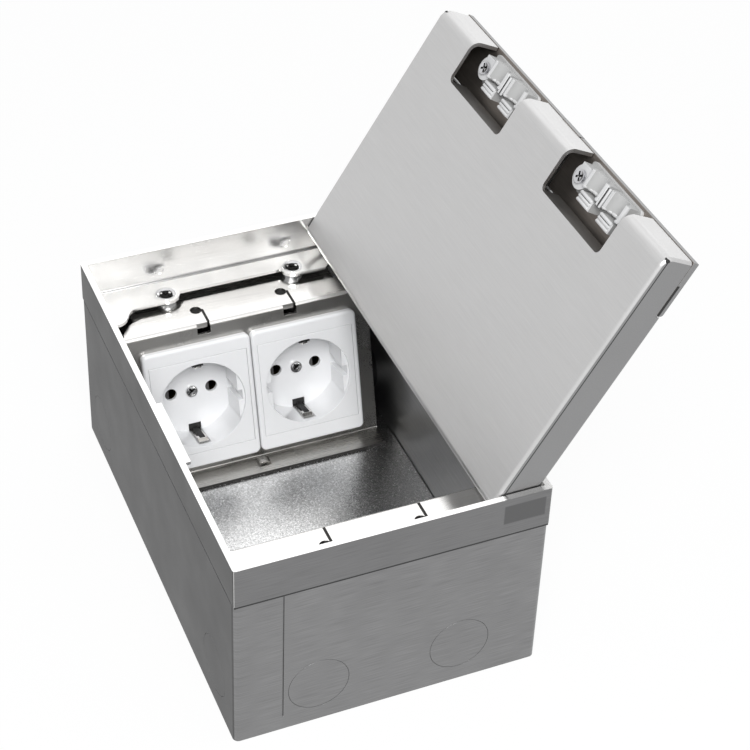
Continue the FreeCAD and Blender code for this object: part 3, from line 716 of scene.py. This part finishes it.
class FLOORBOX_OT_brackets(bpy.types.Operator):
    """Socket brackets, and the small metal fittings of the box and the lid"""
    bl_idname = "floorbox.brackets"
    bl_label = "Brackets"

    def execute(self, context):
        s = context.scene.floorbox_metal
        sheet = brushed("bracket_sheet", s.bracket, 0.24, "x", 0.08, 0.06)
        # Painted shade: the bracket's inward face and its foot take darker copies of the bracket's colour;
        # above 62 mm the inward face turns lighter again as painted light.
        shaded_face_sheet = brushed("bracket_inner_painted_shade", s.socket_face_shade, 0.3, "y", 0.08, 0.08, painted_lit_top=(0.062, s.lip))
        foot_shade_sheet = brushed("bracket_foot_painted_shade", s.lip, 0.28, "x", 0.08, 0.08)
        # Painted shadow for the front edge of the foot and the sides of the screw slots.
        painted_shadow = moulded("edge_shadow", (0.012, 0.011, 0.01), 0.7)
        for side in SIDES:
            self.bracket(s, side, sheet, shaded_face_sheet, foot_shade_sheet, painted_shadow)
        self.fittings(sheet)
        return {"FINISHED"}

    def bracket(self, s, side, sheet, shaded_face_sheet, foot_shade_sheet, painted_shadow):
        """One bracket, with the apron under its shelf, and painted shadow on the front edge of its foot and
        in the sides of its screw slots.
        """
        node = side + "_bracket"
        piece = skin_of(node, "bracket_" + side, s.edge)
        attach(piece, "floor_box", node, sheet, shaded_face_sheet, foot_shade_sheet, painted_shadow)
        low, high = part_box(node)
        inwards = -1 if side == "rear" else 1
        rim = low.y if side == "rear" else high.y
        foot = 0.0095

        # Faces: 3 takes the painted shadow on the foot's front edge, 2 the foot and 1 the inward face, both
        # painted shade; 0 the rest.
        def finish(centre, normal):
            if abs(centre.y - rim) < 0.0004 and normal.y * inwards > 0.7:
                return 3
            if centre.z < foot:
                return 2
            return int(normal.y * inwards > 0.85)

        paint(piece, finish)
        shelf = high.z / MM
        inner, outer = sorted((80.5 * -inwards, 95.0 * -inwards))
        apron = block("shelf_apron_" + side, mm(-48.0, inner, shelf - 2.4), mm(47.0, outer, shelf - 1.2),
                      bevel=0.0002)
        # The apron takes the foot's darker copy of the sheet, painted as shade.
        attach(apron, "floor_box", node, foot_shade_sheet)
        # Painted shadow: dark blocks in the sides of the screw slots, where the slots show only shade.
        shade_blocks = []
        for points in loose_parts("bracket_screws"):
            spot = sum(points, Vector()) / len(points) / MM
            if spot.y * inwards < 0:
                near, far = sorted((spot.y, spot.y + inwards * 9.3))
                shade_blocks.append(block("slot_shade_block", mm(spot.x + 2.2, near, shelf - 1.6),
                                     mm(spot.x + 3.4, far, shelf + 0.02), bevel=0.00003))
        attach(join("screw_slot_shades_" + side, shade_blocks), "floor_box", node, painted_shadow)

    def fittings(self, sheet):
        """Finishes of nuts, screws, pins, bushes, ribs and lugs."""
        zinc = plated("zinc", (0.5, 0.5, 0.52), 0.28)
        # Painted shade: the bracket screws and nuts are darkened so that their slots read as shaded holes.
        slot_screw_shade = plated("screw_hole_shade", (0.025, 0.025, 0.025), 0.4)
        steel = plated("pin_steel", (0.5, 0.5, 0.51), 0.35)
        brass = plated("brass", (0.62, 0.47, 0.2), 0.3)
        for material, nodes in ((zinc, ("earth_nut", "earth_washer", "earth_stud", "terminal_screws")),
                                (slot_screw_shade, ("bracket_nuts", "bracket_screws")),
                                (steel, ("hinge_pins", "flap_pins")), (brass, ("hinge_bushes",)),
                                (sheet, ("lid_ribs", "flap_lugs"))):
            for node in nodes:
                dress(node, material)


class FLOORBOX_OT_sockets(bpy.types.Operator):
    """Four earthed sockets with their frames, clips and screws"""
    bl_idname = "floorbox.sockets"
    bl_label = "Sockets"

    def execute(self, context):
        s = context.scene.floorbox_plastic
        white = moulded("socket_white", s.socket, 0.22, 0.5, 0.02)
        nickel = plated("clip_nickel", (0.72, 0.71, 0.69), 0.18)
        shadow = moulded("slot_shadow", (0.012, 0.012, 0.012), 0.6)
        # Painted shade: the contacts and shutters are darkened so that the pin holes read as shaded.
        contact = plated("contact_painted_shade", (0.05, 0.04, 0.02), 0.4)
        dark = moulded("base_thermoset", (0.03, 0.03, 0.032), 0.5)
        shutter_shade = moulded("shutter_painted_shade", (0.08, 0.078, 0.075), 0.4)
        for side in SIDES:
            turn = Matrix.Rotation(-TILT if side == "rear" else TILT, 4, "X")
            for hand in HANDS:
                tag = "_%s_%s" % (side, hand)
                plate = self.plate(s, tag, side, turn)
                attach(plate, "floor_box", "socket_frame" + tag, white)
                module = skin_of("socket_module" + tag, "module" + tag, 0.00022)
                attach(module, "floor_box", "socket_module" + tag, white)
                self.slots(tag, turn, side, shadow, nickel)
                dress("socket_base" + tag, dark)
                dress("earth_clip" + tag, nickel)
                dress("pin_contacts" + tag, contact)
                dress("shutters" + tag, shutter_shade)
        chrome = plated("socket_screw_steel", (0.75, 0.75, 0.75), 0.14)
        pit_shade = plated("screw_pit", (0.05, 0.05, 0.05), 0.35)
        screws_of("socket_screws", "centre_screws",
                  lambda middle: Vector((0, -math.cos(TILT) * (1 if middle.y > 0 else -1), math.sin(TILT))),
                  0.0013, 0.0014, ((0.16, 0.0), (0.12, -0.18)), "floor_box", chrome, pit_shade)
        return {"FINISHED"}

    def grid_box(self, node, turn):
        """Lowest and highest corner of a node in the tilted grid."""
        back = turn.inverted()
        return corners(back @ vert.co for vert in NODES[node].data.vertices)

    def plate(self, s, tag, side, turn):
        """A frame plate with rounded corners and an opening for the module."""
        low, high = self.grid_box("socket_frame" + tag, turn)
        plate = block("plate" + tag, low, high)
        edit(plate)
        pick_edges(plate, lambda edge: abs(edge.verts[0].co.y - edge.verts[1].co.y)
                   > 0.9 * edge.calc_length())
        bpy.ops.mesh.bevel(offset=s.corner, segments=6, affect="EDGES")
        front = low.y if side == "rear" else high.y
        pick_edges(plate, lambda edge: all(abs(vert.co.y - front) < 1e-6 for vert in edge.verts))
        bpy.ops.mesh.bevel(offset=0.0011, segments=4, affect="EDGES")
        bpy.ops.object.mode_set(mode="OBJECT")
        inner_low, inner_high = self.grid_box("socket_module" + tag, turn)
        depth = high.y - low.y
        fit = Vector((0.00012, 0.0, 0.00012))
        hole_low, hole_high = inner_low - fit, inner_high + fit
        hole_low.y, hole_high.y = low.y - depth, high.y + depth
        carve(plate, block("cutter", hole_low, hole_high))
        plate.matrix_world = turn
        settle(plate)
        soften(plate, 0.0002, 50.0)
        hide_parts("socket_frame" + tag)
        return plate

    def slots(self, tag, turn, side, shadow, nickel):
        """Painted shade in the two earth slots: dark blocks for the shade in each slot and in the hollow of
        each clip, and the bright tip of each clip.
        """
        low, high = self.grid_box("socket_module" + tag, turn)
        centre = (low + high) / 2 / MM
        inwards = 1 if side == "rear" else -1
        front = (low.y if side == "rear" else high.y) / MM

        def slot(name, left, right, near, far, deep, deeper, rounding, segments=2):
            """A block between two depths behind the front, two heights and two sides of the middle."""
            ys = sorted((front + inwards * deep, front + inwards * deeper))
            zs = sorted((centre.z + near, centre.z + far))
            return block(name, mm(centre.x - left, ys[0], zs[0]), mm(centre.x + right, ys[1], zs[1]),
                         turn, rounding, segments)

        pieces = []
        for way in (-1, 1):
            pieces.append(slot("slot_shade_strip", 2.8, 2.8, way * 16.6, way * 19.3, 17.9, 18.6, 0.0001))
            pieces.append(slot("hollow", 1.25, 1.25, way * 18.35, way * 19.45, 6.6, 17.2, 0.0001))
        pieces.append(slot("tip_shade_block", 2.6, 2.6, 18.5, 20.0, 1.3, 4.8, 0.0001))
        attach(join("earth_slot_shades" + tag, pieces), "floor_box", "socket_base" + tag, shadow)
        tip = slot("clip_tip" + tag, 1.6, 1.8, 17.3, 19.9, 1.6, 4.5, 0.0006, 3)
        attach(tip, "floor_box", "earth_clip" + tag, nickel)


class FLOORBOX_OT_lid(bpy.types.Operator):
    """Lid tray, cover and outlet flaps"""
    bl_idname = "floorbox.lid"
    bl_label = "Lid"

    def execute(self, context):
        s = context.scene.floorbox_metal
        satin = brushed("lid_satin", s.lid, 0.42, "y", 0.07, 0.045)
        # Painted shade: the lid's ends, the rims of its openings and the faces inside it take darker copies
        # of the satin colour.
        side = brushed("lid_outer_painted_shade", s.lid_side_shade, 0.4, "y", 0.12, 0.08)
        rim = brushed("lid_rim_painted_shade", s.rim, 0.45, "y", 0.05, 0.05)
        inside = brushed("lid_inside_painted_shade", s.inside, 0.5, "y", 0.05, 0.12)
        low, high = self.tray(s, satin, side, rim)
        self.plate(s, "lid_cover", "lid_plate", "lid", side, inside)
        for where in SIDES:
            self.plate(s, "outlet_flap_" + where, "flap_" + where, "flap_" + where, side, inside)
        self.seams(low / MM, high / MM)
        return {"FINISHED"}

    def tray(self, s, satin, side, rim):
        """The folded tray: satin outside, with darker copies of the sheet painted as shade on its two ends
        and inside its openings.
        """
        tray = skin_of("lid_tray", "lid_sheet", s.edge)
        attach(tray, "lid", "lid_tray", satin, side, rim)
        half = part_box("lid_tray")[1].y
        low, high = corners(CLOSED @ vert.co for vert in tray.data.vertices)
        wall, skin, fold = 0.0018, 0.0004, 0.0062

        def finish(centre, normal):
            centre, normal = CLOSED @ centre, CLOSED.to_3x3() @ normal
            if abs(normal.y) > 0.9 and abs(centre.y) > half - 0.0003:
                return 1
            inner = centre.z > low.z + skin and abs(centre.y) < half - wall and centre.x < high.x - wall
            bend = centre.x < low.x + fold and (normal.x < -0.3 or normal.z < -0.6)
            return 2 if inner and not bend else 0

        paint(tray, finish)
        return low, high

    def plate(self, s, node, name, body, side, inside):
        """The cover or a flap, with a darker brownish colour painted as shade on the face inside the lid."""
        piece = skin_of(node, name, s.edge)
        attach(piece, body, node, side, inside)
        paint(piece, lambda centre, normal: int((CLOSED.to_3x3() @ normal).z < -0.7))

    def seams(self, low, high):
        """Dark seams and slits on the two ends of the tray, and the round reliefs of its corners."""
        pieces = []
        for way in (-1, 1):
            ys = sorted((way * (high.y - 0.12), way * (high.y + 0.03)))
            pieces.append(block("seam", mm(low.x + 3.0, ys[0], low.z + 2.0),
                                mm(high.x - 4.0, ys[1], low.z + 2.45), OPEN, 0.00003))
            pieces.append(block("slit", mm(high.x - 112.7, ys[0], high.z - 2.7),
                                mm(high.x - 98.8, ys[1], high.z - 1.7), OPEN, 0.00003))
            pieces.append(bar("relief", (low.x + 3.0, way * (high.y - 2.4), low.z + 2.4),
                              (low.x + 3.0, way * (high.y - 0.05), low.z + 2.4), 1.0, OPEN_MM))
        attach(join("lid_seams", pieces), "lid", "lid_tray", moulded("seam_shadow", (0.01, 0.01, 0.01), 0.7))


class FLOORBOX_OT_guides(bpy.types.Operator):
    """Cable guides on the flaps and their screws"""
    bl_idname = "floorbox.guides"
    bl_label = "Cable guides"

    def execute(self, context):
        s = context.scene.floorbox_plastic
        grey = moulded("guide_grey", s.guide, 0.38, 0.2, 0.08)
        trough_shade = moulded("guide_hollow_shade", s.trough_shade, 0.45, 0.1, 0.08)
        deep = moulded("guide_shadow", (0.03, 0.03, 0.03), 0.6)
        zinc = plated("guide_screw_zinc", (0.6, 0.6, 0.62), 0.2)
        pit_shade = plated("guide_screw_pit", (0.04, 0.04, 0.04), 0.4)
        for side in SIDES:
            node, body = "outlet_insert_" + side, "flap_" + side
            low, high = corners(CLOSED @ vert.co / MM for vert in NODES[node].data.vertices)
            middle = (low.y + high.y) / 2 - 0.5
            guide = self.body(node, "guide_" + side, low, high, middle, grey, trough_shade)
            added, dark = self.details(low, high, middle)
            for piece in added:
                piece.data.materials.append(grey)
            attach(join("guide_" + side, [guide] + added), body, node)
            attach(join("guide_grooves_" + side, dark), body, node, deep)
            screws_of("insert_screw_" + side, "guide_screw_" + side, lambda point: DOWN, 0.0012, 0.0013,
                      ((0.16, 0.0), (0.12, -0.15)), body, zinc, pit_shade)
        return {"FINISHED"}

    def body(self, node, name, low, high, middle, grey, trough_shade):
        """The moulding, with a darker grey painted as shade in the hollows under the cables and on its faces
        more than 3 mm from its top.
        """
        guide = skin_of(node, name, 0.0003)
        guide.data.materials.append(grey)
        guide.data.materials.append(trough_shade)

        def finish(centre, normal):
            spot = CLOSED @ centre / MM
            in_saddle = min(abs(spot.y - middle - saddle) for saddle in SADDLES) < 4.7
            hollow = in_saddle and spot.x < high.x - 5.6 and low.z + 0.7 < spot.z
            return int((hollow or spot.z > low.z + 3.0) and spot.z < high.z - 1.5)

        paint(guide, finish)
        return guide

    def details(self, low, high, middle):
        """Ribbed grips and round rims of the saddles, the ridges between them, and the dark grooves."""
        added, dark = [], []
        for saddle in SADDLES:
            y, top = middle + saddle, low.z
            for x in (high.x - 0.75, high.x - 2.35, high.x - 3.95):
                added.append(bar("rib", (x, y - 4.6, top + 0.35), (x, y + 4.0, top + 0.35), 0.78, OPEN_MM))
            dark.append(block("groove", mm(high.x - 3.4, y - 3.9, top - 0.05),
                              mm(high.x - 2.9, y + 3.3, top + 0.2), OPEN, 0.00003))
            added += self.rim(high.x - 6.1, y, top + 0.3)
        for y in (middle - 3.75, middle - 1.75):
            added.append(bar("ridge", (high.x - 4.6, y, low.z + 0.5), (high.x - 13.4, y, low.z + 0.5), 0.6,
                             OPEN_MM))
        dark.append(block("slit", mm(high.x - 13.2, middle - 3.2, low.z + 0.2),
                          mm(high.x - 5.0, middle - 2.3, low.z + 0.6), OPEN, 0.00003))
        return added, dark

    def rim(self, x, y, top, steps=6):
        """The rounded edge of one end of a saddle."""
        angles = [math.pi * k / steps for k in range(steps + 1)]
        places = [Vector((x, y + 5.2 * math.cos(angle), top + 4.5 * math.sin(angle))) for angle in angles]
        return [bar("rim", start, end, 0.85, OPEN_MM, 10) for start, end in zip(places, places[1:])]


class FLOORBOX_OT_screws(bpy.types.Operator):
    """Levelling screws and a dark strip of painted shade at the foot of the trim's walls"""
    bl_idname = "floorbox.screws"
    bl_label = "Screws"

    def execute(self, context):
        s = context.scene.floorbox_metal
        zinc = plated("level_screw_zinc", (0.7, 0.7, 0.71), 0.16)
        pit_shade = plated("level_screw_pit", (0.02, 0.02, 0.02), 0.4)
        screws_of("level_screws", "levelling_screws", lambda middle: Vector((0, 0, 1)), 0.0014, 0.002,
                  ((0.17, 0.0), (0.17, -0.5), (0.12, -0.45)), "floor_box", zinc, pit_shade, deep=0.4, dark=-0.6)
        wall = INNER_WALL / MM
        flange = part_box("level_screws")[1].z / MM
        # Painted shade: a dark strip along the crease where each end wall of the trim meets its flange.
        crease_strips = []
        for way in (-1, 1):
            ys = sorted((way * (wall - 1.2), way * (wall - 0.1)))
            crease_strips.append(block("crease_shade", mm(-56.0, ys[0], flange - 0.1), mm(46.0, ys[1], flange + 0.22),
                               bevel=0.00008))
        attach(join("fold_shade_strips", crease_strips), "floor_box", "trim_frame",
               brushed("fold_shade_sheet", s.crease_shade, 0.35, "x", 0.05, 0.1))
        return {"FINISHED"}


class FLOORBOX_PT_panel(bpy.types.Panel):
    """Steps of the floor box in the sidebar"""
    bl_idname = "FLOORBOX_PT_panel"
    bl_label = "Floor socket box"
    bl_space_type = "VIEW_3D"
    bl_region_type = "UI"
    bl_category = "Floor box"

    def draw(self, context):
        for step in STEPS:
            self.layout.operator(step.bl_idname)
        for group in (context.scene.floorbox_stage, context.scene.floorbox_metal,
                      context.scene.floorbox_plastic):
            column = self.layout.column()
            for key in group.bl_rna.properties.keys():
                if key not in ("rna_type", "name"):
                    column.prop(group, key)


STEPS = (FLOORBOX_OT_stage, FLOORBOX_OT_box, FLOORBOX_OT_trim, FLOORBOX_OT_brackets, FLOORBOX_OT_sockets,
         FLOORBOX_OT_lid, FLOORBOX_OT_guides, FLOORBOX_OT_screws)
GROUPS = {"floorbox_stage": StageSettings, "floorbox_metal": MetalSettings,
          "floorbox_plastic": PlasticSettings}


def register():
    for group in GROUPS.values():
        bpy.utils.register_class(group)
    for step in STEPS:
        bpy.utils.register_class(step)
    bpy.utils.register_class(FLOORBOX_PT_panel)
    for name, group in GROUPS.items():
        setattr(bpy.types.Scene, name, PointerProperty(type=group))


def unregister():
    for name in GROUPS:
        delattr(bpy.types.Scene, name)
    bpy.utils.unregister_class(FLOORBOX_PT_panel)
    for step in reversed(STEPS):
        bpy.utils.unregister_class(step)
    for group in GROUPS.values():
        bpy.utils.unregister_class(group)


def main():
    register()
    for step in STEPS:
        group, name = step.bl_idname.split(".")
        getattr(getattr(bpy.ops, group), name)()


if __name__ == "__main__":
    main()
